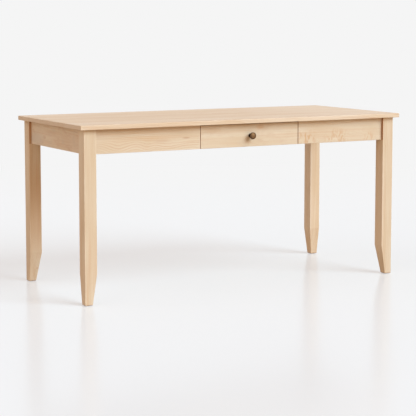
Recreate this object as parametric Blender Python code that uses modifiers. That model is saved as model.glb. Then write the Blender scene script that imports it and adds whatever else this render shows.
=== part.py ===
"""Writing desk of pale maple: a frame of legs and aprons, a top on buttons, one drawer on slides.

Metres, +Z up. The origin is on the floor below the middle of the top. +X is to the right of a
person who faces the drawer, and the drawer opens towards -Y.
"""

import math

import bmesh
import bpy
from mathutils import Matrix, Vector

# Top and frame
DESK_HEIGHT = 0.762
TOP_WIDTH = 1.6256
TOP_DEPTH = 0.7112
TOP_THICKNESS = 0.019
TOP_EDGE_RADIUS = 0.002
SIDE_OVERHANG = 0.022
FRONT_OVERHANG = 0.020
FIT = 0.0003  # gap between pieces that touch
ARRIS = 0.0015  # eased edges of legs, aprons and drawer front
OVERSHOOT = 0.002  # how far a cutter reaches past the face that it opens

# Legs: the two outer faces are straight, the two inner faces taper near the floor
LEG_SIDE = 0.056
FOOT_SIDE = 0.035
TAPER_HEIGHT = 0.135
FOOT_CHAMFER = 0.002
GLIDE_HEIGHT = 0.0015
GLIDE_RADIUS = 0.011
GLIDE_STEM_RADIUS = 0.002
GLIDE_STEM_LENGTH = 0.014
GLIDE_RIM = 0.0005

# Aprons and their tenons
APRON_HEIGHT = 0.105
APRON_THICKNESS = 0.022
APRON_RECESS = 0.012
TENON_THICKNESS = 0.010
TENON_HEIGHT = 0.068
TENON_LENGTH = 0.026
TENON_RISE = 0.012  # from the apron's bottom edge
MORTISE_SPARE = 0.001  # room beyond the end of a tenon

# Rail above the drawer, dovetailed into the tops of the front legs
RAIL_THICKNESS = 0.019
RAIL_DEPTH = 0.060
LAP_LENGTH = 0.014
LAP_NECK = 0.011
LAP_END = 0.015
LAP_SETBACK = 0.009  # from the rail's front edge to the lap's centre line
LAP_SHOULDER = 0.002  # above and below the lap
RAIL_SCREW_X = 0.50

# Dividers at the two ends of the drawer opening
DIVIDER_THICKNESS = 0.019
DIVIDER_RISE = 0.003  # from the apron's bottom edge
TONGUE_THICKNESS = 0.008
TONGUE_HEIGHT = 0.056
TONGUE_LENGTH = 0.008

# Corner braces, measured along the aprons from the corner of their inner faces
BRACE_START = 0.050
BRACE_THICKNESS = 0.022
BRACE_HEIGHT = 0.052
BRACE_RISE = 0.020  # from the apron's bottom edge
BRACE_SCREW_GRIP = 0.024  # length in the leg

# Buttons that hold the top
BUTTON_LENGTH = 0.036
BUTTON_WIDTH = 0.030
BUTTON_THICKNESS = 0.018
BUTTON_TONGUE = 0.009
BUTTON_TONGUE_THICKNESS = 0.009
BUTTON_SHOULDER = 0.001  # below and beside the tongue
BUTTON_TOP_GAP = 0.0008
SIDE_BUTTON_Y = 0.13
BACK_BUTTON_X = 0.42

# Drawer
DRAWER_CENTRE_X = 0.018
DRAWER_FRONT_WIDTH = 0.501
DRAWER_SIDE_GAP = 0.003
DRAWER_TOP_GAP = 0.0043
BOX_HEIGHT = 0.068
BOX_DEPTH = 0.420
BOX_WALL = 0.012
BOX_RISE = 0.014  # from the apron's bottom edge
TAIL_COUNT = 3
TAIL_WIDTH = 0.016  # at the end of the board
TAIL_SLOPE = 1 / 7
PANEL_THICKNESS = 0.006
PANEL_RISE = 0.0092  # from the box's bottom edge
PANEL_ENGAGEMENT = 0.006
FRONT_SCREW_X = 0.16

# Telescopic slides, one on each side of the drawer box
SLIDE_LENGTH = 0.400
SLIDE_SETBACK = 0.005  # from the box's front face
SLIDE_WIDTH = 0.0127
SLIDE_WALL = 0.0012
CABINET_HEIGHT = 0.035
CABINET_REACH = 0.0095
MIDDLE_HEIGHT = 0.0274
MIDDLE_START = 0.0030
MIDDLE_REACH = 0.0110
MEMBER_HEIGHT = 0.0198
MEMBER_START = 0.0060
CAGE_LENGTH = 0.190
CAGE_WALL = 0.0008
CAGE_LIP = 0.0020
OUTER_CAGE_REACH = 0.0085
INNER_CAGE_START = 0.0045
INNER_CAGE_REACH = 0.0105

# Knob, turned about its axis
KNOB_RADIUS = 0.0158
KNOB_REACH = 0.029
KNOB_RIM = 0.0028  # radius of the rim's rounded edge
KNOB_CROWN = 0.0054  # from the middle of the rim to the top of the crown
KNOB_UNDERCUT = 0.0052  # from the middle of the rim back to the neck
KNOB_NECK_RADIUS = 0.006
KNOB_NECK_HEIGHT = 0.0094
KNOB_WAIST = 0.0066  # radius of the neck's hollow
KNOB_BASE_RADIUS = 0.0093
KNOB_BASE_HEIGHT = 0.0026
KNOB_BORE_DEPTH = 0.013
KNOB_DROP = 0.0011  # below the middle of the drawer front
KNOB_STEPS = 32

# Screws: shank radius, head radius, head height, length
SCREW_SIDES = 12
SCREW_TIP = 0.005
BOLT_TIP = 0.001
HOLE_CLEARANCE = 0.0005
TOP_SCREW = (0.0021, 0.0043, 0.0024, 0.028)
FRONT_SCREW = (0.0021, 0.0043, 0.0024, 0.025)
BRACE_SCREW = (0.0028, 0.0060, 0.0034, None)
KNOB_SCREW = (0.0020, 0.0045, 0.0022, 0.046)

# Places that follow from the sizes above
UNDERSIDE = DESK_HEIGHT - TOP_THICKNESS
LEG_OUT_X = TOP_WIDTH / 2 - SIDE_OVERHANG
LEG_OUT_Y = TOP_DEPTH / 2 - FRONT_OVERHANG
LEG_IN_X = LEG_OUT_X - LEG_SIDE
LEG_IN_Y = LEG_OUT_Y - LEG_SIDE
APRON_OUT_X = LEG_OUT_X - APRON_RECESS
APRON_OUT_Y = LEG_OUT_Y - APRON_RECESS
APRON_IN_X = APRON_OUT_X - APRON_THICKNESS
APRON_IN_Y = APRON_OUT_Y - APRON_THICKNESS
APRON_BOTTOM = UNDERSIDE - APRON_HEIGHT
APRON_TOP = UNDERSIDE - FIT
TENON_BOTTOM = APRON_BOTTOM + TENON_RISE
OPENING_LEFT = DRAWER_CENTRE_X - DRAWER_FRONT_WIDTH / 2 - DRAWER_SIDE_GAP
OPENING_RIGHT = DRAWER_CENTRE_X + DRAWER_FRONT_WIDTH / 2 + DRAWER_SIDE_GAP
RAIL_BOTTOM = UNDERSIDE - FIT - RAIL_THICKNESS
RAIL_FRONT = -APRON_IN_Y + FIT
DRAWER_FRONT_TOP = UNDERSIDE - DRAWER_TOP_GAP
BOX_BOTTOM = APRON_BOTTOM + BOX_RISE
BOX_TOP = BOX_BOTTOM + BOX_HEIGHT
BOX_FRONT = -APRON_IN_Y + FIT
BOX_BACK = BOX_FRONT + BOX_DEPTH
BOX_LEFT = OPENING_LEFT + SLIDE_WIDTH + 2 * FIT
BOX_RIGHT = OPENING_RIGHT - SLIDE_WIDTH - 2 * FIT
SLIDE_Z = (BOX_BOTTOM + BOX_TOP) / 2
SLIDE_FRONT = BOX_FRONT + SLIDE_SETBACK
KNOB_Z = (APRON_BOTTOM + DRAWER_FRONT_TOP) / 2 - KNOB_DROP


def clear_scene():
    for obj in list(bpy.data.objects):
        bpy.data.objects.remove(obj, do_unlink=True)


def new_collection(name):
    collection = bpy.data.collections.new(name)
    bpy.context.scene.collection.children.link(collection)
    return collection


def new_material(name, colour, roughness, metallic=0.0):
    material = bpy.data.materials.new(name)
    material.use_nodes = True
    shader = material.node_tree.nodes["Principled BSDF"]
    shader.inputs["Base Color"].default_value = (*colour, 1.0)
    shader.inputs["Roughness"].default_value = roughness
    shader.inputs["Metallic"].default_value = metallic
    return material


def new_empty(name, location):
    empty = bpy.data.objects.new(name, None)
    empty.location = location
    PARTS.objects.link(empty)
    return empty


clear_scene()
PARTS = new_collection("writing_desk")
CUTTERS = new_collection("writing_desk_cutters")
MAPLE = new_material("maple", (0.74, 0.56, 0.38), 0.42)
DRAWER_WOOD = new_material("drawer_box_wood", (0.76, 0.60, 0.42), 0.50)
PLYWOOD = new_material("drawer_bottom_plywood", (0.70, 0.55, 0.39), 0.55)
FRAME_WOOD = new_material("inner_frame_wood", (0.68, 0.51, 0.34), 0.60)
ZINC = new_material("zinc_steel", (0.62, 0.63, 0.64), 0.34, 1.0)
CAGE_STEEL = new_material("ball_cage_steel", (0.48, 0.48, 0.47), 0.42, 1.0)
BRONZE = new_material("aged_bronze", (0.20, 0.13, 0.08), 0.40, 1.0)
NYLON = new_material("glide_nylon", (0.55, 0.50, 0.43), 0.55)
FRAME = new_empty("desk_frame", (0, 0, 0))
DRAWER = new_empty("drawer", (DRAWER_CENTRE_X, BOX_FRONT, SLIDE_Z))


def block(bm, low, high):
    low = Vector(low)
    high = Vector(high)
    verts = bmesh.ops.create_cube(bm, size=1.0)["verts"]
    bmesh.ops.scale(bm, vec=high - low, verts=verts)
    bmesh.ops.translate(bm, vec=(low + high) / 2, verts=verts)
    return verts


def wedge(bm, x_span, y_span, z_first, z_last):
    """A block whose Z limits change along Y, as on the flank of a dovetail."""
    verts = block(bm, (x_span[0], y_span[0], 0), (x_span[1], y_span[1], 1))
    middle = sum(y_span) / 2
    for vert in verts:
        lower, upper = z_first if vert.co.y < middle else z_last
        vert.co.z = upper if vert.co.z > 0.5 else lower
    return verts


def end_face(bm, direction):
    """The face that lies furthest along a direction."""
    direction = Vector(direction)
    return max(bm.faces, key=lambda face: face.calc_center_median().dot(direction))


def set_section(face, limits):
    """Moves a face's corners to new limits on the named axes."""
    centre = face.calc_center_median()
    for axis, (lower, upper) in limits.items():
        for vert in face.verts:
            vert.co[axis] = upper if vert.co[axis] > centre[axis] else lower


def grow(bm, direction, length, root, tip=None):
    """A tenon, tongue or lap that stands on the board's end: its section at the root and at the tip."""
    face = end_face(bm, direction)
    face = bmesh.ops.extrude_discrete_faces(bm, faces=[face])["faces"][0]
    set_section(face, root)
    face = bmesh.ops.extrude_discrete_faces(bm, faces=[face])["faces"][0]
    bmesh.ops.translate(bm, vec=Vector(direction) * length, verts=face.verts)
    if tip:
        set_section(face, tip)


def weigh_edges(bm, chosen):
    """Marks the edges that a Bevel modifier eases."""
    layer = bm.edges.layers.float.new("bevel_weight_edge")
    for edge in bm.edges:
        if chosen(edge):
            edge[layer] = 1.0


def place(bm, name, origin, material, parent=FRAME):
    """Makes a named object of a mesh drawn in desk coordinates, with its own origin."""
    origin = Vector(origin)
    bmesh.ops.translate(bm, vec=-origin, verts=bm.verts)
    bmesh.ops.recalc_face_normals(bm, faces=bm.faces)
    mesh = bpy.data.meshes.new(name)
    bm.to_mesh(mesh)
    bm.free()
    obj = bpy.data.objects.new(name, mesh)
    obj.location = origin
    if material:
        mesh.materials.append(material)
        PARTS.objects.link(obj)
        obj.parent = parent
        obj.matrix_parent_inverse = Matrix.Translation(-parent.location)
    else:
        CUTTERS.objects.link(obj)
        obj.hide_render = True
        obj.display_type = "WIRE"
    return obj


def ease(obj, width, by_weight=True):
    bevel = obj.modifiers.new("eased_edges", "BEVEL")
    bevel.width = width
    bevel.segments = 2
    bevel.limit_method = "WEIGHT" if by_weight else "ANGLE"


def cut(obj, cutter):
    boolean = obj.modifiers.new(cutter.name, "BOOLEAN")
    boolean.operation = "DIFFERENCE"
    boolean.solver = "EXACT"
    boolean.object = cutter


def board(name, low, high, material, parent=FRAME):
    bm = bmesh.new()
    block(bm, low, high)
    return place(bm, name, (Vector(low) + Vector(high)) / 2, material, parent)


def box_cutter(name, low, high):
    return board(name, low, high, None)


def drill(obj, start, direction, depth, radius):
    """Cuts a round hole that starts just outside the face at start."""
    direction = Vector(direction).normalized()
    bm = bmesh.new()
    bmesh.ops.create_cone(
        bm, cap_ends=True, segments=SCREW_SIDES, radius1=radius, radius2=radius, depth=depth + OVERSHOOT
    )
    hole = place(bm, f"{obj.name}_hole", (0, 0, 0), None)
    hole.rotation_euler = direction.to_track_quat("Z", "Y").to_euler()
    hole.location = Vector(start) + direction * (depth - OVERSHOOT) / 2
    cut(obj, hole)


def turned(name, profile, steps, origin, up, material, parent=FRAME):
    """Spins a profile of (radius, height) points, listed from the top down, about a line along up."""
    bm = bmesh.new()
    verts = [bm.verts.new((radius, 0, height)) for radius, height in profile]
    for first, second in zip(verts, verts[1:]):
        bm.edges.new((first, second))
    mesh = bpy.data.meshes.new(name)
    bm.to_mesh(mesh)
    bm.free()
    mesh.materials.append(material)
    obj = bpy.data.objects.new(name, mesh)
    PARTS.objects.link(obj)
    obj.location = origin
    obj.rotation_euler = Vector(up).to_track_quat("Z", "Y").to_euler()
    obj.parent = parent
    obj.matrix_parent_inverse = Matrix.Translation(-parent.location)
    spin = obj.modifiers.new("turning", "SCREW")
    spin.steps = steps
    spin.render_steps = steps
    spin.use_merge_vertices = True
    spin.merge_threshold = 0.0001
    spin.use_smooth_shade = True
    return obj


def screw(name, size, seat, direction, length=None, parent=FRAME, tip=SCREW_TIP):
    """A pan-head screw: its head sits on seat, and its shank points along direction."""
    shank, head, head_height, usual_length = size
    length = length or usual_length
    profile = [
        (0, head_height),
        (head * 0.7, head_height),
        (head, head_height * 0.45),
        (head, FIT),
        (shank, FIT),
        (shank, tip - length),
        (0, -length),
    ]
    return turned(name, profile, SCREW_SIDES, seat, -Vector(direction), ZINC, parent)


def arc(centre, radius, start_degrees, end_degrees, steps):
    """Points on a circular arc, as (radius from the axis, height)."""
    points = []
    for step in range(steps + 1):
        angle = math.radians(start_degrees + (end_degrees - start_degrees) * step / steps)
        points.append((centre[0] + radius * math.cos(angle), centre[1] + radius * math.sin(angle)))
    return points


def make_top():
    top = board(
        "tabletop",
        (-TOP_WIDTH / 2, -TOP_DEPTH / 2, UNDERSIDE),
        (TOP_WIDTH / 2, TOP_DEPTH / 2, DESK_HEIGHT),
        MAPLE,
    )
    ease(top, TOP_EDGE_RADIUS, by_weight=False)
    return top


def make_leg(name, side, end):
    """A leg at side (-1 left, 1 right) and end (-1 front, 1 back)."""
    outer_x = side * LEG_OUT_X
    outer_y = end * LEG_OUT_Y

    def span(outer, sign, width, inset):
        return sorted((outer - sign * inset, outer - sign * (width - inset)))

    bm = bmesh.new()
    low = (min(outer_x, side * LEG_IN_X), min(outer_y, end * LEG_IN_Y), TAPER_HEIGHT)
    high = (max(outer_x, side * LEG_IN_X), max(outer_y, end * LEG_IN_Y), UNDERSIDE - FIT)
    block(bm, low, high)
    for height, inset in ((GLIDE_HEIGHT + FOOT_CHAMFER, 0), (GLIDE_HEIGHT, FOOT_CHAMFER)):
        face = end_face(bm, (0, 0, -1))
        face = bmesh.ops.extrude_discrete_faces(bm, faces=[face])["faces"][0]
        limits = {
            0: span(outer_x, side, FOOT_SIDE, inset),
            1: span(outer_y, end, FOOT_SIDE, inset),
        }
        set_section(face, limits)
        for vert in face.verts:
            vert.co.z = height

    def is_long_edge(edge):
        return abs(edge.verts[0].co.z - edge.verts[1].co.z) > FOOT_CHAMFER * 2

    weigh_edges(bm, is_long_edge)
    leg = place(bm, name, (side * (LEG_OUT_X - LEG_SIDE / 2), end * (LEG_OUT_Y - LEG_SIDE / 2), 0), MAPLE)
    ease(leg, ARRIS)

    mortise_top = TENON_BOTTOM + TENON_HEIGHT + FIT
    half = TENON_THICKNESS / 2 + FIT
    apron_x = side * (APRON_OUT_X - APRON_THICKNESS / 2)
    apron_y = end * (APRON_OUT_Y - APRON_THICKNESS / 2)
    reach_x = sorted((side * (LEG_IN_X - OVERSHOOT), side * (LEG_IN_X + TENON_LENGTH + MORTISE_SPARE)))
    reach_y = sorted((end * (LEG_IN_Y - OVERSHOOT), end * (LEG_IN_Y + TENON_LENGTH + MORTISE_SPARE)))
    cut(
        leg,
        box_cutter(
            f"{name}_front_mortise",
            (reach_x[0], apron_y - half, TENON_BOTTOM - FIT),
            (reach_x[1], apron_y + half, mortise_top),
        ),
    )
    cut(
        leg,
        box_cutter(
            f"{name}_side_mortise",
            (apron_x - half, reach_y[0], TENON_BOTTOM - FIT),
            (apron_x + half, reach_y[1], mortise_top),
        ),
    )
    return leg


def make_glide(name, side, end, leg):
    """A round foot glide with a stem pressed up into the foot."""
    x = side * (LEG_OUT_X - FOOT_SIDE / 2)
    y = end * (LEG_OUT_Y - FOOT_SIDE / 2)
    top = GLIDE_HEIGHT - FIT
    profile = [
        (0, top + GLIDE_STEM_LENGTH),
        (GLIDE_STEM_RADIUS, top + GLIDE_STEM_LENGTH - GLIDE_STEM_RADIUS),
        (GLIDE_STEM_RADIUS, top),
        (GLIDE_RADIUS, top),
        (GLIDE_RADIUS, GLIDE_RIM),
        (GLIDE_RADIUS - GLIDE_RIM, 0),
        (0, 0),
    ]
    turned(name, profile, SCREW_SIDES * 2, (x, y, 0), (0, 0, 1), NYLON)
    drill(leg, (x, y, GLIDE_HEIGHT), (0, 0, 1), GLIDE_STEM_LENGTH + FIT, GLIDE_STEM_RADIUS + HOLE_CLEARANCE)


def make_apron(name, axis, low, high, tenon_ends):
    """An apron along an axis (0 for X, 1 for Y), with tenons at the ends listed as -1 and 1."""
    bm = bmesh.new()
    block(bm, low, high)
    across = 1 - axis
    middle = (low[across] + high[across]) / 2
    section = {
        across: (middle - TENON_THICKNESS / 2, middle + TENON_THICKNESS / 2),
        2: (TENON_BOTTOM, TENON_BOTTOM + TENON_HEIGHT),
    }
    for end in tenon_ends:
        direction = [0, 0, 0]
        direction[axis] = end
        grow(bm, direction, TENON_LENGTH, section)

    def is_bottom_edge(edge):
        return all(abs(vert.co.z - low[2]) < FIT for vert in edge.verts) and edge.calc_length() > LEG_SIDE

    weigh_edges(bm, is_bottom_edge)
    apron = place(bm, name, (Vector(low) + Vector(high)) / 2, MAPLE)
    ease(apron, ARRIS)
    return apron


def make_aprons():
    shoulder_x = LEG_IN_X - FIT
    shoulder_y = LEG_IN_Y - FIT
    front_y = (-APRON_OUT_Y, -APRON_IN_Y)
    return {
        "front_left": make_apron(
            "front_apron_left",
            0,
            (-shoulder_x, front_y[0], APRON_BOTTOM),
            (OPENING_LEFT, front_y[1], APRON_TOP),
            (-1,),
        ),
        "front_right": make_apron(
            "front_apron_right",
            0,
            (OPENING_RIGHT, front_y[0], APRON_BOTTOM),
            (shoulder_x, front_y[1], APRON_TOP),
            (1,),
        ),
        "back": make_apron(
            "back_apron",
            0,
            (-shoulder_x, APRON_IN_Y, APRON_BOTTOM),
            (shoulder_x, APRON_OUT_Y, APRON_TOP),
            (-1, 1),
        ),
        "left": make_apron(
            "left_side_apron",
            1,
            (-APRON_OUT_X, -shoulder_y, APRON_BOTTOM),
            (-APRON_IN_X, shoulder_y, APRON_TOP),
            (-1, 1),
        ),
        "right": make_apron(
            "right_side_apron",
            1,
            (APRON_IN_X, -shoulder_y, APRON_BOTTOM),
            (APRON_OUT_X, shoulder_y, APRON_TOP),
            (-1, 1),
        ),
    }


def lap_section(width, clearance=0.0):
    middle = RAIL_FRONT + LAP_SETBACK
    return {
        1: (middle - width / 2 - clearance, middle + width / 2 + clearance),
        2: (RAIL_BOTTOM + LAP_SHOULDER - clearance, UNDERSIDE - FIT - LAP_SHOULDER + clearance),
    }


def make_front_rail(legs, top):
    """The flat rail above the drawer, with a dovetailed lap that drops into each front leg."""
    end_x = LEG_IN_X - FIT
    bm = bmesh.new()
    block(bm, (-end_x, RAIL_FRONT, RAIL_BOTTOM), (end_x, RAIL_FRONT + RAIL_DEPTH, UNDERSIDE - FIT))
    for side in (-1, 1):
        grow(bm, (side, 0, 0), LAP_LENGTH, lap_section(LAP_NECK), lap_section(LAP_END))
    middle = (0, RAIL_FRONT + RAIL_DEPTH / 2, RAIL_BOTTOM + RAIL_THICKNESS / 2)
    rail = place(bm, "front_top_rail", middle, FRAME_WOOD)
    for side, leg in ((-1, legs["front_left"]), (1, legs["front_right"])):
        socket = bmesh.new()
        near = side * end_x
        far = side * (end_x + LAP_LENGTH + FIT)
        block(
            socket,
            (min(near, far), RAIL_FRONT, RAIL_BOTTOM - FIT),
            (max(near, far), RAIL_FRONT + RAIL_DEPTH, UNDERSIDE + OVERSHOOT),
        )
        for direction, width in ((-side, LAP_NECK), (side, LAP_END)):
            section = lap_section(width, FIT)
            section[2] = (section[2][0], UNDERSIDE + OVERSHOOT)
            set_section(end_face(socket, (direction, 0, 0)), section)
        cut(leg, place(socket, f"{leg.name}_lap_socket", (near, RAIL_FRONT, RAIL_BOTTOM), None))
    for word, side in (("left", -1), ("right", 1)):
        seat = (side * RAIL_SCREW_X, RAIL_FRONT + RAIL_DEPTH / 2, RAIL_BOTTOM)
        hang_screw(f"rail_screw_{word}", seat, RAIL_THICKNESS, rail, top)


def hang_screw(name, seat, thickness, piece, top):
    """A screw up through a piece into the underside of the top."""
    up = (0, 0, 1)
    shank, length = TOP_SCREW[0], TOP_SCREW[3]
    screw(name, TOP_SCREW, seat, up)
    drill(piece, seat, up, thickness + OVERSHOOT, shank + HOLE_CLEARANCE)
    bite = seat[2] + length - UNDERSIDE
    drill(top, (seat[0], seat[1], UNDERSIDE), up, bite + MORTISE_SPARE, shank + HOLE_CLEARANCE)


def make_dividers(aprons):
    bottom = APRON_BOTTOM + DIVIDER_RISE
    top = RAIL_BOTTOM - FIT
    end_y = APRON_IN_Y - FIT
    middle_z = (bottom + top) / 2
    for name, inner, side in (("left", OPENING_LEFT, -1), ("right", OPENING_RIGHT, 1)):
        middle_x = inner + side * DIVIDER_THICKNESS / 2
        half = DIVIDER_THICKNESS / 2
        section = {
            0: (middle_x - TONGUE_THICKNESS / 2, middle_x + TONGUE_THICKNESS / 2),
            2: (middle_z - TONGUE_HEIGHT / 2, middle_z + TONGUE_HEIGHT / 2),
        }
        bm = bmesh.new()
        block(bm, (middle_x - half, -end_y, bottom), (middle_x + half, end_y, top))
        for end in (-1, 1):
            grow(bm, (0, end, 0), TONGUE_LENGTH, section)
        place(bm, f"drawer_divider_{name}", (middle_x, 0, middle_z), FRAME_WOOD)
        for end, apron in ((-1, aprons[f"front_{name}"]), (1, aprons["back"])):
            reach = sorted((end * (end_y - OVERSHOOT), end * (end_y + TONGUE_LENGTH + FIT)))
            cut(
                apron,
                box_cutter(
                    f"{apron.name}_{name}_housing",
                    (section[0][0] - FIT, reach[0], section[2][0] - FIT),
                    (section[0][1] + FIT, reach[1], section[2][1] + FIT),
                ),
            )


def make_brace(name, side, end, leg):
    """A mitred block across an inside corner, drawn up to the leg by one screw."""
    near = BRACE_START - 2 * FIT
    far = BRACE_START + BRACE_THICKNESS * math.sqrt(2) - 2 * FIT
    inward = Vector((-side, -end, 0)).normalized()
    corner = Vector((side * APRON_IN_X, end * APRON_IN_Y, APRON_BOTTOM + BRACE_RISE + BRACE_HEIGHT / 2))
    near_face = corner + inward * BRACE_START / math.sqrt(2)
    bm = bmesh.new()
    half_length = near / math.sqrt(2)
    block(
        bm,
        (-half_length, 0, -BRACE_HEIGHT / 2),
        (half_length, BRACE_THICKNESS, BRACE_HEIGHT / 2),
    )
    far_half = far / math.sqrt(2)
    set_section(end_face(bm, (0, 1, 0)), {0: (-far_half, far_half)})
    brace = place(bm, name, (0, 0, 0), FRAME_WOOD)
    brace.location = near_face
    brace.rotation_euler = (0, 0, math.atan2(inward.y, inward.x) - math.pi / 2)

    shank = BRACE_SCREW[0]
    leg_corner = Vector((side * LEG_IN_X, end * LEG_IN_Y, near_face.z))
    seat = near_face + inward * BRACE_THICKNESS
    length = (seat - leg_corner).length + BRACE_SCREW_GRIP
    screw(name.replace("brace", "brace_screw"), BRACE_SCREW, seat, -inward, length)
    drill(brace, seat, -inward, BRACE_THICKNESS + OVERSHOOT, shank + HOLE_CLEARANCE)
    drill(leg, leg_corner, -inward, BRACE_SCREW_GRIP + MORTISE_SPARE, shank + HOLE_CLEARANCE)


def make_button(name, apron, along, outward, top):
    """A rebated block whose tongue rides in a slot of the apron, screwed up into the top."""
    outward = Vector(outward)
    axis = 0 if outward.x else 1
    across = 1 - axis
    sign = outward[axis]
    face = sign * (APRON_IN_X if axis == 0 else APRON_IN_Y)
    upper = UNDERSIDE - BUTTON_TOP_GAP
    lower = upper - BUTTON_THICKNESS
    body = sorted((face - sign * BUTTON_LENGTH, face - sign * FIT))
    tongue_bottom = lower + BUTTON_SHOULDER
    tongue_top = tongue_bottom + BUTTON_TONGUE_THICKNESS
    tongue_half = BUTTON_WIDTH / 2 - BUTTON_SHOULDER
    low = [0, 0, lower]
    high = [0, 0, upper]
    low[axis], high[axis] = body
    low[across], high[across] = along - BUTTON_WIDTH / 2, along + BUTTON_WIDTH / 2
    bm = bmesh.new()
    block(bm, low, high)
    section = {across: (along - tongue_half, along + tongue_half), 2: (tongue_bottom, tongue_top)}
    grow(bm, outward, BUTTON_TONGUE, section)
    centre = (Vector(low) + Vector(high)) / 2
    button = place(bm, name, centre, FRAME_WOOD)

    slot = sorted((face - sign * OVERSHOOT, face + sign * (BUTTON_TONGUE + MORTISE_SPARE)))
    slot_low = [0, 0, tongue_bottom - FIT]
    slot_high = [0, 0, tongue_top + FIT]
    slot_low[axis], slot_high[axis] = slot
    slot_low[across] = low[across]
    slot_high[across] = high[across]
    cut(apron, box_cutter(f"{name}_slot", slot_low, slot_high))
    seat = (centre.x, centre.y, lower)
    hang_screw(name.replace("button", "button_screw"), seat, BUTTON_THICKNESS, button, top)


def tail_half(from_end):
    """Half the width of a dovetail at a distance from the end of its board."""
    return TAIL_WIDTH / 2 - TAIL_SLOPE * from_end


def tail_middles():
    pitch = BOX_HEIGHT / TAIL_COUNT
    return [BOX_BOTTOM + pitch * (index + 0.5) for index in range(TAIL_COUNT)]


def tails(bm, x_span, end_y, inward):
    """The tails of one corner, as cut from the board that holds the pins."""
    reach = BOX_WALL + OVERSHOOT
    first, last = sorted((-OVERSHOOT, reach), key=lambda step: end_y + inward * step)
    for middle in tail_middles():
        spans = [(middle - tail_half(step), middle + tail_half(step)) for step in (first, last)]
        wedge(bm, x_span, (end_y + inward * first, end_y + inward * last), *spans)


def pin_sockets(bm, x_span, end_y, inward):
    """The spaces between the tails of one corner, as cut from the board that has the tails."""
    reach = BOX_WALL + FIT
    first, last = sorted((-OVERSHOOT, reach), key=lambda step: end_y + inward * step)
    middles = tail_middles()
    for index in range(TAIL_COUNT + 1):
        spans = []
        for step in (first, last):
            below = middles[index - 1] + tail_half(step) - FIT if index else BOX_BOTTOM - OVERSHOOT
            above = middles[index] - tail_half(step) + FIT if index < TAIL_COUNT else BOX_TOP + OVERSHOOT
            spans.append((below, above))
        wedge(bm, x_span, (end_y + inward * first, end_y + inward * last), *spans)


def make_drawer_box():
    """A box dovetailed at its corners, with a bottom panel held in grooves all round."""
    ends = ((BOX_FRONT, 1), (BOX_BACK, -1))
    walls = {
        "left": (BOX_LEFT, BOX_LEFT + BOX_WALL),
        "right": (BOX_RIGHT - BOX_WALL, BOX_RIGHT),
    }
    inset = BOX_WALL - PANEL_ENGAGEMENT + FIT
    panel_low = Vector((BOX_LEFT + inset, BOX_FRONT + inset, BOX_BOTTOM + PANEL_RISE))
    panel_high = Vector((BOX_RIGHT - inset, BOX_BACK - inset, panel_low.z + PANEL_THICKNESS))
    board("drawer_bottom", panel_low, panel_high, PLYWOOD, DRAWER)
    room = Vector((FIT, FIT, FIT))
    groove = box_cutter("drawer_bottom_groove", panel_low - room, panel_high + room)

    for name, (left, right) in walls.items():
        low = (left, BOX_FRONT, BOX_BOTTOM)
        high = (right, BOX_BACK, BOX_TOP)
        side = board(f"drawer_side_{name}", low, high, DRAWER_WOOD, DRAWER)
        bm = bmesh.new()
        for end_y, inward in ends:
            pin_sockets(bm, (left - OVERSHOOT, right + OVERSHOOT), end_y, inward)
        cut(side, place(bm, f"drawer_side_{name}_sockets", (left, BOX_FRONT, BOX_BOTTOM), None))
        cut(side, groove)
    end_walls = {}
    for name, (end_y, inward) in zip(("front", "back"), ends):
        low_y, high_y = sorted((end_y, end_y + inward * BOX_WALL))
        low = (BOX_LEFT, low_y, BOX_BOTTOM)
        high = (BOX_RIGHT, high_y, BOX_TOP)
        wall = board(f"drawer_box_{name}", low, high, DRAWER_WOOD, DRAWER)
        bm = bmesh.new()
        for left, right in walls.values():
            spare = (left - OVERSHOOT, right + FIT) if left == BOX_LEFT else (left - FIT, right + OVERSHOOT)
            tails(bm, spare, end_y, inward)
        cut(wall, place(bm, f"drawer_box_{name}_tails", (BOX_LEFT, end_y, BOX_BOTTOM), None))
        cut(wall, groove)
        end_walls[name] = wall
    return end_walls


def make_drawer_front(box_front):
    half = DRAWER_FRONT_WIDTH / 2
    front = board(
        "drawer_front",
        (DRAWER_CENTRE_X - half, -APRON_OUT_Y, APRON_BOTTOM),
        (DRAWER_CENTRE_X + half, -APRON_IN_Y, DRAWER_FRONT_TOP),
        MAPLE,
        DRAWER,
    )
    ease(front, ARRIS, by_weight=False)
    forward = (0, -1, 0)
    inner_y = BOX_FRONT + BOX_WALL
    shank, length = FRONT_SCREW[0], FRONT_SCREW[3]
    for word, side in (("left", -1), ("right", 1)):
        seat = (DRAWER_CENTRE_X + side * FRONT_SCREW_X, inner_y, KNOB_Z)
        screw(f"drawer_front_screw_{word}", FRONT_SCREW, seat, forward, parent=DRAWER)
        drill(box_front, seat, forward, BOX_WALL + OVERSHOOT, shank + HOLE_CLEARANCE)
        bite = length - BOX_WALL - FIT
        drill(front, (seat[0], -APRON_IN_Y, KNOB_Z), forward, bite + MORTISE_SPARE, shank + HOLE_CLEARANCE)
    seat = (DRAWER_CENTRE_X, inner_y, KNOB_Z)
    screw("knob_screw", KNOB_SCREW, seat, forward, parent=DRAWER, tip=BOLT_TIP)
    bore = KNOB_SCREW[0] + HOLE_CLEARANCE
    drill(box_front, seat, forward, BOX_WALL + OVERSHOOT, bore)
    drill(front, (seat[0], -APRON_IN_Y, KNOB_Z), forward, APRON_THICKNESS + OVERSHOOT, bore)


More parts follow.
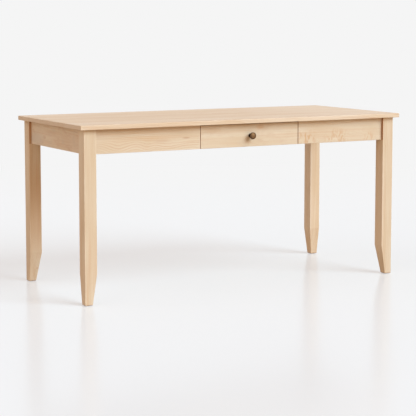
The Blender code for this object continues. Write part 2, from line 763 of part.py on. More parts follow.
def make_knob():
    """A turned knob: small base, waisted neck, and a head with a rounded rim and a low crown."""
    bore = KNOB_SCREW[0] + HOLE_CLEARANCE
    rim_height = KNOB_REACH - KNOB_CROWN
    crown_edge = KNOB_RADIUS - KNOB_RIM
    crown_drop = KNOB_CROWN - KNOB_RIM
    profile = []
    for share in (0, 0.4, 0.7):
        profile.append((crown_edge * share, KNOB_REACH - crown_drop * share**2))
    profile += arc((crown_edge, rim_height), KNOB_RIM, 80, -60, 6)
    profile.append((KNOB_RADIUS * 2 / 3, rim_height - KNOB_UNDERCUT))
    profile += arc((KNOB_NECK_RADIUS + KNOB_WAIST, KNOB_NECK_HEIGHT), KNOB_WAIST, 130, 230, 6)
    profile += [
        (KNOB_BASE_RADIUS, KNOB_BASE_HEIGHT),
        (KNOB_BASE_RADIUS, FIT),
        (bore, FIT),
        (bore, KNOB_BORE_DEPTH),
        (0, KNOB_BORE_DEPTH),
    ]
    seat = (DRAWER_CENTRE_X, -APRON_OUT_Y, KNOB_Z)
    turned("drawer_knob", profile, KNOB_STEPS, seat, (0, -1, 0), BRONZE, DRAWER)


def channel(name, wall_x, outward, y_span, reach, height, walls, material):
    """A C-shaped strip along Y, open towards the drawer. Reach runs from the divider's face at wall_x."""
    web, lip = walls
    xs = sorted(wall_x + outward * step for step in reach)
    low = Vector((xs[0], y_span[0], SLIDE_Z - height / 2))
    high = Vector((xs[1], y_span[1], SLIDE_Z + height / 2))
    strip = board(name, low, high, material)
    hollow = sorted(wall_x + outward * step for step in (reach[0] + web, reach[1] + OVERSHOOT))
    cut(
        strip,
        box_cutter(
            f"{name}_hollow",
            (hollow[0], y_span[0] - OVERSHOOT, low.z + lip),
            (hollow[1], y_span[1] + OVERSHOOT, high.z - lip),
        ),
    )
    return strip


def make_slide(name, wall_x, outward):
    """Three nested channels and two ball cages between a divider and the drawer box."""
    span = (SLIDE_FRONT, SLIDE_FRONT + SLIDE_LENGTH)
    cage_front = SLIDE_FRONT + SLIDE_LENGTH / 4 + SLIDE_SETBACK
    cage_span = (cage_front, cage_front + CAGE_LENGTH)
    member_walls = (SLIDE_WALL, SLIDE_WALL)
    cage_walls = (CAGE_WALL, CAGE_LIP)
    cage_step = 2 * (SLIDE_WALL + FIT)
    prefix = f"slide_{name}"

    reach = (FIT, CABINET_REACH)
    channel(f"{prefix}_cabinet_member", wall_x, outward, span, reach, CABINET_HEIGHT, member_walls, ZINC)
    reach = (MIDDLE_START, MIDDLE_REACH)
    channel(f"{prefix}_middle_member", wall_x, outward, span, reach, MIDDLE_HEIGHT, member_walls, ZINC)
    reach = (SLIDE_WALL + 2 * FIT, OUTER_CAGE_REACH)
    height = CABINET_HEIGHT - cage_step
    channel(f"{prefix}_outer_ball_cage", wall_x, outward, cage_span, reach, height, cage_walls, CAGE_STEEL)
    reach = (INNER_CAGE_START, INNER_CAGE_REACH)
    height = MIDDLE_HEIGHT - cage_step
    channel(f"{prefix}_inner_ball_cage", wall_x, outward, cage_span, reach, height, cage_walls, CAGE_STEEL)

    drawer_x = wall_x + outward * (SLIDE_WIDTH + FIT)
    reach = (0, SLIDE_WIDTH + FIT - MEMBER_START)
    member = channel(
        f"{prefix}_drawer_member", drawer_x, -outward, span, reach, MEMBER_HEIGHT, member_walls, ZINC
    )
    member.parent = DRAWER
    member.matrix_parent_inverse = Matrix.Translation(-DRAWER.location)


def make_desk():
    top = make_top()
    legs = {}
    for end_name, end in (("front", -1), ("back", 1)):
        for side_name, side in (("left", -1), ("right", 1)):
            corner = f"{end_name}_{side_name}"
            legs[corner] = make_leg(f"leg_{corner}", side, end)
            make_glide(f"foot_glide_{corner}", side, end, legs[corner])
            make_brace(f"corner_brace_{corner}", side, end, legs[corner])
    aprons = make_aprons()
    make_front_rail(legs, top)
    make_dividers(aprons)
    for side_name, side in (("left", -1), ("right", 1)):
        for end_name, end in (("front", -1), ("back", 1)):
            name = f"top_button_{side_name}_{end_name}"
            make_button(name, aprons[side_name], end * SIDE_BUTTON_Y, (side, 0, 0), top)
        make_button(f"top_button_back_{side_name}", aprons["back"], side * BACK_BUTTON_X, (0, 1, 0), top)
    end_walls = make_drawer_box()
    make_drawer_front(end_walls["front"])
    make_knob()
    make_slide("left", OPENING_LEFT, 1)
    make_slide("right", OPENING_RIGHT, -1)


make_desk()
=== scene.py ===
import math

import bmesh
import bpy
from mathutils import Matrix, Vector


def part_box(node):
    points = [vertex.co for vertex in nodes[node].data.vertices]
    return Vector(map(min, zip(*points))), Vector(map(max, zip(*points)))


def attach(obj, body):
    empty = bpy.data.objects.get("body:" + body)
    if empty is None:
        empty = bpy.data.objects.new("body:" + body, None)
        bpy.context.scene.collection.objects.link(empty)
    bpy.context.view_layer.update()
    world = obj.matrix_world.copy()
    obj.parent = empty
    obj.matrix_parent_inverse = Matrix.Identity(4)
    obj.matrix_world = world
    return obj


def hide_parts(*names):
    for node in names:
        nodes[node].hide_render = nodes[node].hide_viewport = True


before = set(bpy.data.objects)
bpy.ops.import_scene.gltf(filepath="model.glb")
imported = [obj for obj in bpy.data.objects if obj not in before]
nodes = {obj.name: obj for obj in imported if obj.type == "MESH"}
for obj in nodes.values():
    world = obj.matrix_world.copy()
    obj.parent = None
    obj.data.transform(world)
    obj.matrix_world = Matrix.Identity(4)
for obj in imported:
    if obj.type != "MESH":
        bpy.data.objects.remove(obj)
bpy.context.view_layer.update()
print("frame loaded:", len(nodes), "solids")


def shade(red, green, blue):  # a colour as picked on screen, made linear
    linear = []
    for value in (red, green, blue):
        value /= 255
        linear.append(value / 12.92 if value < 0.04045 else ((value + 0.055) / 1.055) ** 2.4)
    return (*linear, 1.0)


# small helpers for shader trees

def newTree(name):
    material = bpy.data.materials.new(name)
    material.use_nodes = True
    tree = material.node_tree
    tree.nodes.clear()
    return material, tree


def add(tree, kind, inputs=None, **settings):
    node = tree.nodes.new(kind)
    for key, value in settings.items():
        setattr(node, key, value)
    for key, value in (inputs or {}).items():
        if isinstance(value, bpy.types.NodeSocket):
            tree.links.new(value, node.inputs[key])
        else:
            node.inputs[key].default_value = value
    return node


def calc(tree, operation, first, second=0.0, third=0.0, clamp=False):
    inputs = {0: first, 1: second, 2: third}
    return add(tree, "ShaderNodeMath", inputs, operation=operation, use_clamp=clamp).outputs[0]


def vector(tree, operation, first, second=(0, 0, 0)):
    node = add(tree, "ShaderNodeVectorMath", {0: first, 1: second}, operation=operation)
    return node.outputs["Value" if operation in ("LENGTH", "DOT_PRODUCT") else "Vector"]


def axisOf(tree, coords, axis):
    return add(tree, "ShaderNodeSeparateXYZ", {0: coords}).outputs[axis]


def spread(tree, value, low, high, newLow=0.0, newHigh=1.0):  # eased map of a range
    inputs = {"Value": value, "From Min": low, "From Max": high, "To Min": newLow, "To Max": newHigh}
    return add(tree, "ShaderNodeMapRange", inputs, interpolation_type="SMOOTHSTEP").outputs[0]


def centred(tree, value, amount, onto, clamp=False):  # adds a noise, counted from its middle
    return calc(tree, "MULTIPLY_ADD", calc(tree, "SUBTRACT", value, 0.5), amount, onto, clamp)


def noise(tree, coords, scale, detail=2.0, roughness=0.5, distortion=0.0):
    inputs = {
        "Vector": coords, "Scale": scale, "Detail": detail, "Roughness": roughness, "Distortion": distortion,
    }
    return add(tree, "ShaderNodeTexNoise", inputs).outputs["Fac"]


def blendColour(tree, share, first, second):
    inputs = {0: share, 6: first, 7: second}  # 6 and 7 are the mix node's colours
    return add(tree, "ShaderNodeMix", inputs, data_type="RGBA").outputs[2]


def tinted(tree, colour, tint, mask, strength):
    return blendColour(tree, calc(tree, "MULTIPLY", mask, strength), colour, tint)


def surface(tree, colour, roughness, height, bump, metallic=0.0, specular=0.5):
    strength, distance = bump
    bumped = add(tree, "ShaderNodeBump", {"Height": height, "Strength": strength, "Distance": distance})
    inputs = {
        "Base Color": colour, "Roughness": roughness, "Metallic": metallic,
        "Specular IOR Level": specular, "Normal": bumped.outputs[0],
    }
    shader = add(tree, "ShaderNodeBsdfPrincipled", inputs)
    add(tree, "ShaderNodeOutputMaterial", {"Surface": shader.outputs[0]})
    return shader


# maple: growth rings round a pith line, streaks, fibre, flecks, clouds of tone, darker end grain, worn edges

maple = {
    "pale": shade(228, 211, 187),
    "honey": shade(218, 194, 163),
    "ringLine": shade(199, 150, 102),
    "streak": shade(211, 170, 128),
    "blush": shade(186, 134, 98),
    "ash": shade(206, 192, 174),
    "fleck": shade(176, 128, 86),
    "endGrain": shade(204, 148, 94),
    # pale wear on edges; also painted light on shaded leg faces and a painted sheen on the top
    "worn": shade(240, 222, 199),
    # painted shade for a leg's inner faces beside its aprons
    "pooled": shade(164, 104, 58),
    "ringWidth": 0.0040,
    "bow": 7.0,  # rings bend slowly along the trunk
    "wave": 0.9,  # and in short waves
    "lateWood": 3.0,  # a higher power gives thinner ring lines
    "evenRings": 0.25,
    "lineStrength": 0.62,
    "streakStrength": 0.42,
    "fleckStrength": 0.30,
    "tone": 0.0,  # towards pale; the next four say how much it varies
    "clouds": 1.5,
    "bands": 1.5,
    "rings": 0.35,
    "fibres": 0.9,
    "mottle": 0.0,
    "mottleShare": {"blush": 0.55, "ash": 0.50},  # at a mottle of 1
    "arcs": (56.0, 56.0, 23.0),
    "endShare": 0.62,
    "endTurn": (0.55, 0.92),  # from side grain to end grain
    "pores": 2400.0,
    "edgeWidth": (0.0009, 0.0045),  # rubbed up to the first, untouched from the second
    "wornEdge": 1.0,
    # how much painted shade goes into a leg's inner corners
    "pool": 0.55,
    "scuff": (0.004, 0.010),  # heights above the floor
    "scuffShare": 0.45,
    "scuffRagged": 0.006,
    "roughness": 0.54,
    "specular": 0.14,
    "bump": (0.10, 0.0004),  # strength and distance
    "staves": False, "foot": False, "bends": [], "curl": [], "flame": [], "marks": [],
}

drawerWood = dict(
    maple, pale=shade(240, 224, 198), honey=shade(229, 206, 173), ringLine=shade(212, 174, 132),
    streak=shade(222, 190, 152), lineStrength=0.36, roughness=0.56,
)

innerWood = dict(
    maple, pale=shade(222, 196, 160), honey=shade(205, 173, 133), ringLine=shade(176, 134, 92),
    streak=shade(188, 146, 104), worn=shade(228, 206, 174), ringWidth=0.0062, roughness=0.64, specular=0.15,
)

birchPly = dict(
    maple, pale=shade(236, 216, 184), honey=shade(224, 196, 156), ringLine=shade(206, 168, 122),
    ringWidth=0.0110, lineStrength=0.40, roughness=0.60,
)

# noise scales along and across the grain, then detail and roughness where they aren't the usual ones
grain = {
    "bow": (1.6, 7.0),
    "wave": (13.0, 34.0, 3.0),
    "curl": (34.0, 40.0, 1.0),
    "lineFade": (2.5, 16.0),
    "fibre": (9.0, 420.0, 3.0, 0.6),
    "cloud": (3.5, 11.0),
    "streak": (2.0, 105.0, 4.0, 0.6),
    "dash": (110.0, 900.0, 1.0),
    "band": (1.2, 38.0, 3.0, 0.55),
    "patch": (9.0, 20.0, 3.0, 0.6),
}

# the range over which a mask changes, then its values at the two ends where they aren't 0 and 1
fade = {
    "spot": (0.25, 1.0, 1.0, 0.0),  # shares of an oval's size
    "innerFace": (0.6, 0.9),
    "besideApron": (-0.003, 0.002),
    "line": (0.35, 0.65, 0.35, 1.0),
    "streak": (0.50, 0.72),
    "blush": (0.50, 0.74),
    "ash": (0.48, 0.26),
    "arc": (0.45, 0.66),
    "fleck": (0.66, 0.78),
    "pore": (0.25, 0.75, 0.82, 1.14),
    "wornEdge": (0.3, 0.7, 0.20, 0.75),
}

# boards glued edge to edge, each from another log
staves = {"width": 0.089, "start": 4.0, "uneven": 0.45, "shift": (5.0, 0.16, 0.10), "tone": 0.7}

# each board: a point on its pith line, the way its grain runs, and what sets it apart from plain maple
boards = {
    "tabletop": {
        "pith": (0.0, 0.05, 0.62), "run": (1, 0.004, 0.006), "staves": True,
        "pale": shade(233, 213, 189), "honey": shade(223, 197, 166), "endGrain": shade(216, 198, 177),
        # a painted sheen towards the right end of the top
        "wornEdge": 0.25, "marks": [("worn", (0.80, 0.05, 0.76), (0.75, 0.60, 0.30), 0.45)],
    },
    "front_apron_left": {
        "pith": (-0.60, -0.245, 0.592), "run": (1, 0.012, 0.004), "ringWidth": 0.0052, "evenRings": 0.6,
        # end grain darker than plain maple, partly as painted shade for the drawer gaps
        "wave": 1.0, "tone": 0.15, "lineStrength": 0.775, "endGrain": shade(174, 106, 56), "endShare": 0.82,
        "bends": [(-0.635, 0.100, -0.024), (-0.495, 0.048, -0.013), (-0.39, 0.09, -0.009)],
        "bendFade": (0.650, 0.700),
        "marks": [
            ("blush", (-0.304, -0.32, 0.690), (0.027, 0.05, 0.006), 0.46),
            ("blush", (-0.42, -0.32, 0.680), (0.06, 0.05, 0.012), 0.16),
        ],
    },
    "front_apron_right": {
        "pith": (0.45, -0.225, 0.712), "run": (1, -0.020, -0.012), "wave": 1.6, "tone": 0.24,
        # end grain darker than plain maple, partly as painted shade for the drawer gaps
        "lineStrength": 0.496, "endGrain": shade(174, 106, 56), "endShare": 0.82, "wornEdge": 0.2,
        "curl": [
            ((0.33, -0.32, 0.652), (0.070, 0.05, 0.032), 5.2),
            ((0.47, -0.32, 0.650), (0.070, 0.05, 0.030), 4.8),
        ],
        "flame": [
            ((0.315, -0.32, 0.662), (0.080, 0.05, 0.054), 0.80),
            ((0.48, -0.32, 0.662), (0.090, 0.05, 0.050), 0.80),
            ((0.66, -0.32, 0.658), (0.060, 0.05, 0.030), 0.60),
        ],
    },
    "drawer_front": {
        "pith": (0.05, -0.21, 0.640), "run": (1, 0.014, 0.010), "mottle": 0.35, "tone": 0.10,
        "lineStrength": 0.372, "streakStrength": 0.252, "endGrain": shade(184, 126, 78), "wornEdge": 0.2,
        "marks": [
            ("streak", (0.070, -0.32, 0.723), (0.030, 0.05, 0.014), 0.55),
            ("streak", (-0.17, -0.32, 0.718), (0.06, 0.05, 0.018), 0.25),
        ],
    },
    "back_apron": {"pith": (0.1, 0.22, 0.70), "run": (1, 0.03, 0.01)},
    "left_side_apron": {
        "pith": (-0.68, 0.0, 0.70), "run": (-0.02, 1, 0.015), "mottle": 0.9, "tone": 0.35,
        "marks": [
            ("blush", (-0.78, -0.20, 0.680), (0.05, 0.24, 0.065), 0.15),
            ("blush", (-0.78, 0.05, 0.700), (0.05, 0.12, 0.020), 0.16),
            ("ash", (-0.78, 0.22, 0.668), (0.05, 0.13, 0.045), 0.55),
        ],
    },
    "right_side_apron": {"pith": (0.69, 0.0, 0.67), "run": (0.03, 1, -0.02), "mottle": 0.5},
    "leg_front_left": {
        "pith": (-0.70, -0.255, 0.4), "run": (0.012, -0.02, 1), "foot": True, "bands": 2.6,
        "marks": [("streak", (-0.745, -0.32, 0.17), (0.06, 0.06, 0.24), 0.22)],
    },
    "leg_front_right": {
        # more painted shade in this leg's inner corner
        "pith": (0.72, -0.225, 0.4), "run": (-0.015, 0.015, 1), "foot": True, "bands": 2.4, "pool": 0.78,
        "marks": [
            # painted light lifting the leg's shaded inner face
            ("worn", (0.733, -0.31, 0.35), (0.016, 0.10, 0.60), 0.55),
            ("streak", (0.786, -0.32, 0.54), (0.030, 0.06, 0.26), 0.22),
        ],
    },
    "leg_back_left": {
        "pith": (-0.69, 0.38, 0.4), "run": (0.010, 0.012, 1), "foot": True, "bands": 2.4,
        "marks": [
            ("blush", (-0.755, 0.28, 0.060), (0.004, 0.05, 0.007), 0.6),
            ("streak", (-0.757, 0.275, 0.31), (0.06, 0.02, 0.30), 0.40),
        ],
    },
    "leg_back_right": {
        "pith": (0.70, 0.25, 0.4), "run": (0.015, -0.010, 1), "foot": True, "bands": 2.4, "tone": 0.15,
        "pale": shade(234, 211, 183), "honey": shade(224, 194, 158),
        # painted light lifting the leg's shaded inner face
        "marks": [("worn", (0.733, 0.31, 0.35), (0.016, 0.10, 0.60), 0.65)],
    },
}


def spotMask(tree, place, centre, size):  # 1 inside an oval, fading out
    away = vector(tree, "DIVIDE", vector(tree, "SUBTRACT", place, centre), size)
    return spread(tree, vector(tree, "LENGTH", away), *fade["spot"])


def edgeMask(tree, place, node, width):  # 1 on the edges of a board's box, 0 a little way in
    low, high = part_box(node)
    fromLow = vector(tree, "SUBTRACT", place, low)
    near = vector(tree, "MINIMUM", fromLow, vector(tree, "SUBTRACT", high, place))
    parts = add(tree, "ShaderNodeSeparateXYZ", {0: near}).outputs
    least = calc(tree, "MINIMUM", parts["X"], parts["Y"])
    most = calc(tree, "MAXIMUM", parts["X"], parts["Y"])
    second = calc(tree, "MAXIMUM", least, calc(tree, "MINIMUM", most, parts["Z"]))
    return spread(tree, second, *width, 1.0, 0.0)


# painted shade goes on these faces, in the corner that gets less light
def cornerShadeMask(tree, place, normal, name):  # a leg's inner faces, beside the aprons
    low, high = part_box(name)
    middle = (low + high) / 2
    facings = []
    for inward in ((-math.copysign(1, middle.x), 0, 0), (0, -math.copysign(1, middle.y), 0)):
        facings.append(spread(tree, vector(tree, "DOT_PRODUCT", normal, inward), *fade["innerFace"]))
    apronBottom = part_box("front_apron_left")[0].z
    height = calc(tree, "SUBTRACT", axisOf(tree, place, "Z"), apronBottom)
    beside = spread(tree, height, *fade["besideApron"])
    return calc(tree, "MULTIPLY", calc(tree, "MAXIMUM", *facings), beside)


def grainSpace(tree, place, look):  # the board laid along its pith line, and the tone of each stave
    turn = Vector(look["run"]).to_track_quat("X", "Z").to_euler()
    inputs = {"Vector": place, "Location": look["pith"], "Rotation": turn}
    local = add(tree, "ShaderNodeMapping", inputs, vector_type="TEXTURE").outputs[0]
    staveTone = None
    if look["staves"]:
        across = calc(tree, "ADD", axisOf(tree, place, "Y"), staves["start"])
        inputs = {"W": across, "Scale": 1 / staves["width"], "Randomness": staves["uneven"]}
        cell = add(tree, "ShaderNodeTexVoronoi", inputs, voronoi_dimensions="1D").outputs["Color"]
        shift = vector(tree, "SUBTRACT", cell, (0.5, 0.5, 0.5))
        local = vector(tree, "ADD", local, vector(tree, "MULTIPLY", shift, staves["shift"]))
        staveTone = add(tree, "ShaderNodeSeparateColor", {0: cell}).outputs["Green"]
    for middle, width, rise in look["bends"]:  # the grain dips or rises along the board
        away = calc(tree, "ABSOLUTE", calc(tree, "SUBTRACT", axisOf(tree, place, "X"), middle))
        lift = calc(tree, "MULTIPLY", spread(tree, away, 0.0, width, 1.0, 0.0), -rise)
        bent = spread(tree, axisOf(tree, place, "Z"), *look["bendFade"], 1.0, 0.1)
        lift = calc(tree, "MULTIPLY", lift, bent)
        local = vector(tree, "ADD", local, add(tree, "ShaderNodeCombineXYZ", {"Z": lift}).outputs[0])
    return local, staveTone


def makeWood(name, board, wood):
    look = {**wood, **board}
    material, tree = newTree("wood_" + name)
    place = add(tree, "ShaderNodeTexCoord").outputs["Object"]
    local, staveTone = grainSpace(tree, place, look)

    def grainNoise(kind):
        along, across, *fineness = grain[kind]
        return noise(tree, vector(tree, "MULTIPLY", local, (along, across, across)), 1.0, *fineness)

    # rings, bent slowly along the trunk and in short waves, and curled round in a few places
    radius = vector(tree, "LENGTH", vector(tree, "MULTIPLY", local, (0, 1, 1)))
    phase = calc(tree, "MULTIPLY", radius, 1 / look["ringWidth"])
    phase = calc(tree, "MULTIPLY_ADD", grainNoise("bow"), look["bow"], phase)
    phase = calc(tree, "MULTIPLY_ADD", grainNoise("wave"), look["wave"], phase)
    for centre, size, strength in look["curl"]:
        swirl = calc(tree, "MULTIPLY", spotMask(tree, place, centre, size), strength)
        phase = calc(tree, "MULTIPLY_ADD", grainNoise("curl"), swirl, phase)
    late = calc(tree, "POWER", calc(tree, "FRACT", phase), look["lateWood"])
    ring = {"W": calc(tree, "FLOOR", phase)}
    ringTone = add(tree, "ShaderNodeTexWhiteNoise", ring, noise_dimensions="1D").outputs["Value"]
    line = calc(tree, "MULTIPLY", late, spread(tree, ringTone, 0.1, 1.0, look["evenRings"], 1.0))
    line = calc(tree, "MULTIPLY", line, spread(tree, grainNoise("lineFade"), *fade["line"]))

    # clouds of tone, streaks and ring lines
    fibre = grainNoise("fibre")
    cloud = grainNoise("cloud")
    tone = centred(tree, cloud, look["clouds"], 0.5 + look["tone"])
    tone = centred(tree, grainNoise("band"), look["bands"], tone)
    tone = centred(tree, ringTone, look["rings"], tone)
    if staveTone is not None:
        tone = centred(tree, staveTone, staves["tone"], tone)
    tone = centred(tree, fibre, look["fibres"], tone, clamp=True)
    colour = blendColour(tree, tone, look["honey"], look["pale"])
    streak = spread(tree, grainNoise("streak"), *fade["streak"])
    colour = tinted(tree, colour, look["streak"], streak, look["streakStrength"])
    colour = tinted(tree, colour, look["ringLine"], line, look["lineStrength"])

    # patches that took the finish unevenly, short arcs across the grain, the board's own marks, and flecks
    if look["mottle"]:
        patch = grainNoise("patch")
        for tint, share in look["mottleShare"].items():
            mask = spread(tree, patch, *fade[tint])
            colour = tinted(tree, colour, look[tint], mask, share * look["mottle"])
    for centre, size, strength in look["flame"]:
        stretched = vector(tree, "MULTIPLY", place, look["arcs"])
        arcs = spread(tree, noise(tree, stretched, 1.0, detail=1.6, distortion=1.5), *fade["arc"])
        mask = calc(tree, "MULTIPLY", spotMask(tree, place, centre, size), arcs)
        colour = tinted(tree, colour, look["streak"], mask, strength)
    for tint, centre, size, strength in look["marks"]:
        colour = tinted(tree, colour, look[tint], spotMask(tree, place, centre, size), strength)
    dash = spread(tree, grainNoise("dash"), *fade["fleck"])
    colour = tinted(tree, colour, look["fleck"], dash, look["fleckStrength"])

    # end grain drinks the finish, edges are rubbed pale
    normal = add(tree, "ShaderNodeNewGeometry").outputs["Normal"]
    facing = calc(tree, "ABSOLUTE", vector(tree, "DOT_PRODUCT", normal, Vector(look["run"]).normalized()))
    end = spread(tree, facing, *look["endTurn"], 0.0, look["endShare"])
    pores = noise(tree, place, look["pores"], roughness=0.7)
    end = calc(tree, "MULTIPLY", end, spread(tree, pores, *fade["pore"]))
    colour = blendColour(tree, end, colour, look["endGrain"])
    edge = edgeMask(tree, place, name, look["edgeWidth"])
    edge = calc(tree, "MULTIPLY", edge, spread(tree, cloud, *fade["wornEdge"]))
    edge = calc(tree, "MULTIPLY", edge, look["wornEdge"])
    edge = calc(tree, "MULTIPLY", edge, spread(tree, facing, *look["endTurn"], 1.0, 0.0))
    colour = blendColour(tree, edge, colour, look["worn"])

    if look["foot"]:  # painted shade darkens a leg's inner faces beside its aprons, and its foot picks up scuffs
        colour = tinted(tree, colour, look["pooled"], cornerShadeMask(tree, place, normal, name), look["pool"])
        ragged = calc(tree, "MULTIPLY_ADD", fibre, look["scuffRagged"], axisOf(tree, place, "Z"))
        scuffed = spread(tree, ragged, *look["scuff"], look["scuffShare"], 0.0)
        colour = blendColour(tree, scuffed, colour, look["fleck"])

    # the finish lies closer on dense wood, and pores show as short grooves
    gloss = look["roughness"] - 0.05
    for mask, change in ((fibre, 0.10), (cloud, 0.08), (end, 0.25), (edge, -0.08)):
        gloss = calc(tree, "MULTIPLY_ADD", mask, change, gloss)
    height = calc(tree, "MULTIPLY_ADD", dash, -0.7, calc(tree, "MULTIPLY_ADD", line, -0.4, fibre))
    surface(tree, colour, gloss, height, look["bump"], specular=look["specular"])
    return material


def dress(node, material):
    for slot in nodes[node].material_slots:
        slot.material = material


for name, board in boards.items():
    dress(name, makeWood(name, board, maple))
print("maple boards dressed:", len(boards))


# boards of the drawer box and the inside of the frame, with grain along their length

insideWoods = {
    "drawer_box": drawerWood, "drawer_side": drawerWood, "drawer_bottom": birchPly,
    "front_top_rail": innerWood, "drawer_divider": innerWood, "corner_brace": innerWood,
    "top_button": innerWood,
}

# the pith line's place beside a board, and how it moves on from one cut of the log to the next
insidePith = {"start": (0.0, 0.03, -0.06), "step": (0.02, 0.002, -0.003), "cuts": 17}


def lengthways(node):  # a little off the board's own line
    low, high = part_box(node)
    size = high - low
    middle = (low + high) / 2
    if node.startswith("corner_brace"):
        return (1, -1 if middle.x * middle.y > 0 else 1, 0)
    return (1, 0.01, 0.008) if size.x > size.y else (0.01, 1, 0.008)


def dressInside():
    count = 0
    for node in sorted(nodes):
        wood = next((insideWoods[start] for start in insideWoods if node.startswith(start)), None)
        if wood is None or "screw" in node:
            continue
        low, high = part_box(node)
        cut = sum(ord(letter) for letter in node) % insidePith["cuts"]
        pith = (low + high) / 2 + Vector(insidePith["start"]) + Vector(insidePith["step"]) * cut
        dress(node, makeWood(node, {"pith": pith, "run": lengthways(node)}, wood))
        count += 1
    print("inner boards dressed:", count)


dressInside()


# metal and nylon

bronze = {
    "face": (0.245, 0.126, 0.058, 1.0),
    # patina in the hollows, also painted shade on the rim's side
    "patina": (0.030, 0.014, 0.008, 1.0),
    # worn rim, lighter metal that is partly a painted highlight
    "worn": (0.36, 0.22, 0.13, 1.0),
    "edgeTint": (0.62, 0.42, 0.27, 1.0),
    "roughness": 0.44,
    "bump": (0.18, 0.0003),
    "axis": (0.018, -0.3236, 0.68725),  # on the drawer front's face; the rest is counted from here
    "mottle": (420.0, 3.0, 0.6),  # scale, detail and roughness of a noise
    "speck": (2600.0, 2.0, 0.6),
    "blotch": (0.20, 0.70, 0.62, 1.0),
    "crown": (0.0262, 0.0284),
    "crownRagged": 0.0016,
    "groove": 0.0110,
    "grooveFade": (0.0004, 0.0013),
    "grooveShare": 0.75,
    "rimRadius": (0.0140, 0.0158),
    "rimReach": (0.0238, 0.0262),
    "rimRagged": 0.0012,
    # strength of the worn rim and its painted highlight
    "rimWear": 0.28,
}

steel = {
    "zinc": {"bright": (0.66, 0.67, 0.68, 1.0), "dull": (0.50, 0.51, 0.53, 1.0), "roughness": 0.30},
    "cage": {"bright": (0.44, 0.44, 0.43, 1.0), "dull": (0.31, 0.31, 0.31, 1.0), "roughness": 0.40},
    "ball": {"bright": (0.78, 0.78, 0.79, 1.0), "dull": (0.66, 0.66, 0.68, 1.0), "roughness": 0.14},
}

plating = {
    "drawn": (1500.0, 25.0, 1500.0), "cloud": (90.0, 3.0, 0.6), "crystal": 700.0, "crystalShare": 0.25,
    "bump": (0.10, 0.0002),
}

nylon = {
    "pale": shade(196, 188, 174), "scuffed": shade(150, 140, 126), "cloud": (260.0, 4.0, 0.65),
    "scuff": (-0.0006, 0.0006), "scuffShare": 0.8, "scuffRagged": -0.0012,
    "roughness": 0.52, "specular": 0.4, "bump": (0.15, 0.0003),
}


def makeBronze(look):
    material, tree = newTree("aged_bronze")
    place = add(tree, "ShaderNodeTexCoord").outputs["Object"]
    inputs = {"Vector": place, "Location": look["axis"]}
    local = add(tree, "ShaderNodeMapping", inputs, vector_type="TEXTURE").outputs[0]
    reach = calc(tree, "MULTIPLY", axisOf(tree, local, "Y"), -1.0)
    radius = vector(tree, "LENGTH", vector(tree, "MULTIPLY", local, (1, 0, 1)))
    mottle = noise(tree, place, *look["mottle"])
    speck = noise(tree, place, *look["speck"])
    # patina stays on the neck, under the head and in the ring groove, and runs onto the rim's side as painted
    # shade; hands wear the rim bright, partly as a painted highlight
    ragged = calc(tree, "MULTIPLY_ADD", mottle, look["crownRagged"], reach)
    front = spread(tree, ragged, *look["crown"])
    away = calc(tree, "ABSOLUTE", calc(tree, "SUBTRACT", radius, look["groove"]))
    groove = spread(tree, away, *look["grooveFade"], 1.0, 0.0)
    front = calc(tree, "MULTIPLY_ADD", groove, -look["grooveShare"], front, clamp=True)
    front = calc(tree, "MULTIPLY", front, spread(tree, mottle, *look["blotch"]))
    colour = blendColour(tree, front, look["patina"], look["face"])
    ragged = calc(tree, "MULTIPLY_ADD", mottle, look["rimRagged"], radius)
    rim = spread(tree, ragged, *look["rimRadius"])
    rim = calc(tree, "MULTIPLY", rim, spread(tree, reach, *look["rimReach"]))
    colour = tinted(tree, colour, look["worn"], rim, look["rimWear"])
    gloss = calc(tree, "MULTIPLY_ADD", mottle, 0.16, look["roughness"])
    gloss = calc(tree, "MULTIPLY_ADD", front, -0.08, gloss)
    height = calc(tree, "MULTIPLY_ADD", speck, 0.5, mottle)
    shader = surface(tree, colour, gloss, height, look["bump"], metallic=1.0)
    shader.inputs["Specular Tint"].default_value = look["edgeTint"]
    return material


def makeSteel(name, look):  # drawn along Y, with a light crystal pattern in the plating
    material, tree = newTree(name)
    place = add(tree, "ShaderNodeTexCoord").outputs["Object"]
    drawn = noise(tree, vector(tree, "MULTIPLY", place, plating["drawn"]), 1.0, roughness=0.6)
    cloud = noise(tree, place, *plating["cloud"])
    cells = add(tree, "ShaderNodeTexVoronoi", {"Vector": place, "Scale": plating["crystal"]})
    crystal = add(tree, "ShaderNodeSeparateColor", {0: cells.outputs["Color"]}).outputs["Red"]
    tone = calc(tree, "MULTIPLY_ADD", drawn, 0.5, calc(tree, "MULTIPLY", cloud, 0.5))
    tone = centred(tree, crystal, plating["crystalShare"], tone, clamp=True)
    colour = blendColour(tree, tone, look["dull"], look["bright"])
    gloss = calc(tree, "MULTIPLY_ADD", cloud, 0.12, look["roughness"] - 0.06)
    gloss = calc(tree, "MULTIPLY_ADD", drawn, 0.10, gloss)
    surface(tree, colour, gloss, drawn, plating["bump"], metallic=1.0)
    return material


def makeNylon(look):
    material, tree = newTree("glide_nylon")
    place = add(tree, "ShaderNodeTexCoord").outputs["Object"]
    cloud = noise(tree, place, *look["cloud"])
    ragged = calc(tree, "MULTIPLY_ADD", cloud, look["scuffRagged"], axisOf(tree, place, "Z"))
    scuff = spread(tree, ragged, *look["scuff"], look["scuffShare"], 0.0)
    colour = blendColour(tree, scuff, look["pale"], look["scuffed"])
    gloss = calc(tree, "MULTIPLY_ADD", cloud, 0.2, look["roughness"] - 0.1)
    surface(tree, colour, gloss, cloud, look["bump"], specular=look["specular"])
    return material


bronzeFinish = makeBronze(bronze)
zincFinish = makeSteel("zinc_steel", steel["zinc"])
cageFinish = makeSteel("cage_steel", steel["cage"])
ballFinish = makeSteel("ball_steel", steel["ball"])
nylonFinish = makeNylon(nylon)


# meshes for the turned and folded pieces

mergeDistance = 1e-7


